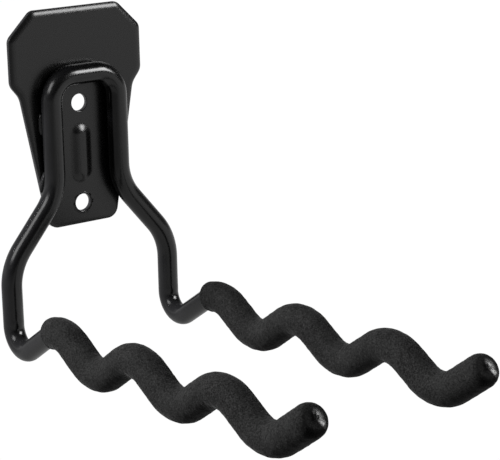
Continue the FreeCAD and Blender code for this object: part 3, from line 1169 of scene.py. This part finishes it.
@dataclass(frozen=True)
class Studio:
    """White floor with a glow over it, light from behind, four soft boxes and the camera.

    Lengths here are metres.
    """

    floor_depth: float = 0.30
    floor_half: float = 30.0
    floor_white: float = 1.02
    glow_axis: tuple[float, float, float] = (1.0, -0.15, 0.0)
    dim_at: float = -0.7          # along that axis the glow rises from dim_at to bright_at
    bright_at: float = 0.6
    dim_glow: float = 0.24
    bright_glow: float = 0.72
    back_light: float = 0.55      # from behind the hanger, just above the horizon
    faint_light: float = 0.03     # from every side
    azimuth: float = math.radians(-36.22)
    elevation: float = math.radians(15.17)
    roll: float = math.radians(-1.08)
    distance: float = 0.75077
    aim: tuple[float, float, float] = (0.04328, -0.0605, -0.02879)
    lens: float = 132.8

    def camera(self) -> None:
        """Make the camera: it looks at the aim from the azimuth and elevation, slightly rolled."""
        a, e = self.azimuth, self.elevation
        ahead = Vector((-math.sin(a) * math.cos(e), math.cos(a) * math.cos(e), -math.sin(e)))
        level = Vector((math.cos(a), math.sin(a), 0.0))
        upright = level.cross(ahead)
        right = level * math.cos(self.roll) + upright * math.sin(self.roll)
        up = upright * math.cos(self.roll) - level * math.sin(self.roll)
        data = bpy.data.cameras.new("camera")
        data.lens = self.lens
        data.sensor_width = 36.0
        data.clip_start, data.clip_end = 0.01, 200.0
        camera = bpy.data.objects.new("camera", data)
        turn = Matrix((right, up, -ahead)).transposed().to_4x4()
        camera.matrix_world = Matrix.Translation(Vector(self.aim) - ahead * self.distance) @ turn
        bpy.context.scene.collection.objects.link(camera)
        bpy.context.scene.camera = camera

    def sheet(self, name: str, finish: str, height: float) -> tuple[bpy.types.Object, bpy.types.NodeTree]:
        """Lay a wide level sheet.

        Args:
            name: the sheet's name.
            finish: its material's name.
            height: its height in metres.

        Returns:
            The sheet and its material's empty node tree.
        """
        half = self.floor_half
        square = ((-half, -half), (half, -half), (half, half), (-half, half))
        corners = [(x, y, height) for x, y in square]
        mesh = bpy.data.meshes.new(name)
        mesh.from_pydata(corners, [], [(0, 1, 2, 3)])
        sheet = bpy.data.objects.new(name, mesh)
        material = bpy.data.materials.new(finish)
        material.use_nodes = True
        material.node_tree.nodes.clear()
        mesh.materials.append(material)
        bpy.context.scene.collection.objects.link(sheet)
        sheet.visible_diffuse = False
        sheet.visible_shadow = False
        return sheet, material.node_tree

    def floor(self) -> None:
        """Lay a white floor that is seen, and above it the glow that the glossy coat mirrors.

        The glow over it is a painted pool of light that no lamp casts, seen only in glossy reflections:
        it is brightest in front on the right and fades to the left, as a lamp beside the floor would leave
        it.
        """
        floor, tree = self.sheet("floor", "white_sweep_paper", -self.floor_depth)
        floor.visible_glossy = False
        glow = add_node(tree, "ShaderNodeEmission", {
            "Color": linear("#ffffff"), "Strength": self.floor_white})
        add_node(tree, "ShaderNodeOutputMaterial", {"Surface": glow.outputs["Emission"]})
        # painted pool of light: an emissive sheet, hidden from the camera and from matte light, whose glow
        # fades like a lamp's
        mirrored, tree = self.sheet("floor_glow", "painted_light_pool_sheet", 0.01 - self.floor_depth)
        mirrored.visible_camera = False
        place = add_node(tree, "ShaderNodeTexCoord").outputs["Object"]
        along = add_node(tree, "ShaderNodeVectorMath", {
            0: place, 1: self.glow_axis}, operation="DOT_PRODUCT")
        fall = add_node(tree, "ShaderNodeMapRange", {
            "Value": along.outputs["Value"], "From Min": self.dim_at, "From Max": self.bright_at,
            "To Min": self.dim_glow, "To Max": self.bright_glow})
        glow = add_node(tree, "ShaderNodeEmission", {
            "Color": linear("#ffffff"), "Strength": fall.outputs["Result"]})
        add_node(tree, "ShaderNodeOutputMaterial", {"Surface": glow.outputs["Emission"]})

    def surroundings(self) -> None:
        """Light the air: from behind and just above the horizon, and faintly from every side.

        The brightness is a ramp of the direction's Y, which is 1 behind the hanger and -1 in front,
        times a ramp of its Z, which is black below the horizon, white on it and dark overhead.
        """
        world = bpy.data.worlds.new("studio")
        world.use_nodes = True
        tree = world.node_tree
        tree.nodes.clear()
        direction = add_node(tree, "ShaderNodeTexCoord").outputs["Generated"]
        parts = add_node(tree, "ShaderNodeSeparateXYZ", {"Vector": direction})
        behind = add_node(tree, "ShaderNodeMapRange", {
            "Value": parts.outputs["Y"], "From Min": -0.2, "From Max": 0.5, "To Max": self.back_light})
        height = add_node(tree, "ShaderNodeMapRange", {
            "Value": parts.outputs["Z"], "From Min": -1.0, "From Max": 1.0})
        low = add_node(tree, "ShaderNodeValToRGB", {"Fac": height.outputs["Result"]})
        blend_stops(low, [(0.49, "#000000"), (0.51, "#ffffff"), (0.62, "#9a9a9a"), (0.8, "#303030")])
        strength = add_node(tree, "ShaderNodeMath", {0: behind.outputs["Result"], 1: low.outputs["Color"]},
                            operation="MULTIPLY")
        raised = add_node(tree, "ShaderNodeMath", {0: strength.outputs["Value"], 1: self.faint_light},
                          operation="ADD")
        glow = add_node(tree, "ShaderNodeBackground", {
            "Color": linear("#ffffff"), "Strength": raised.outputs["Value"]})
        add_node(tree, "ShaderNodeOutputWorld", {"Surface": glow.outputs["Background"]})
        bpy.context.scene.world = world

    def build(self) -> None:
        """Set up the floor, the surroundings, the lights and the camera."""
        self.floor()
        self.surroundings()
        for light in LIGHTS:
            light.build()
        self.camera()
        scene = bpy.context.scene
        scene.view_settings.view_transform = "Standard"
        scene.view_settings.look = "None"


def main() -> None:
    """Build every piece in order, dress it, and set up the studio."""
    logging.basicConfig(level=logging.INFO, format="%(message)s")
    line = RodLine()
    plate_coat = PowderCoat("plate_powder_coat", roughness=0.27, edge_roughness=0.25).material()
    rod_coat = PowderCoat("rod_powder_coat", roughness=0.22, edge_roughness=0.22).material()
    weld_coat = PowderCoat("weld_powder_coat", roughness=0.3).material()
    foam = FoamSkin("closed_cell_foam").material()
    dress(WallPlate().build(), plate_coat, "wall_plate")
    dress(BentRod(line).build(), rod_coat, "hanger_rod")
    for side in Side:
        sleeve = FoamSleeve(line, side).build()
        dress(sleeve, foam, f"{side.name.lower()}_foam_sleeve")
        for level in Level:
            bead = WeldBead(line, side, level).build()
            dress(bead, weld_coat, f"{level.name.lower()}_{side.name.lower()}_weld")
    Studio().build()
    bpy.context.view_layer.update()


if __name__ == "__main__":
    main()
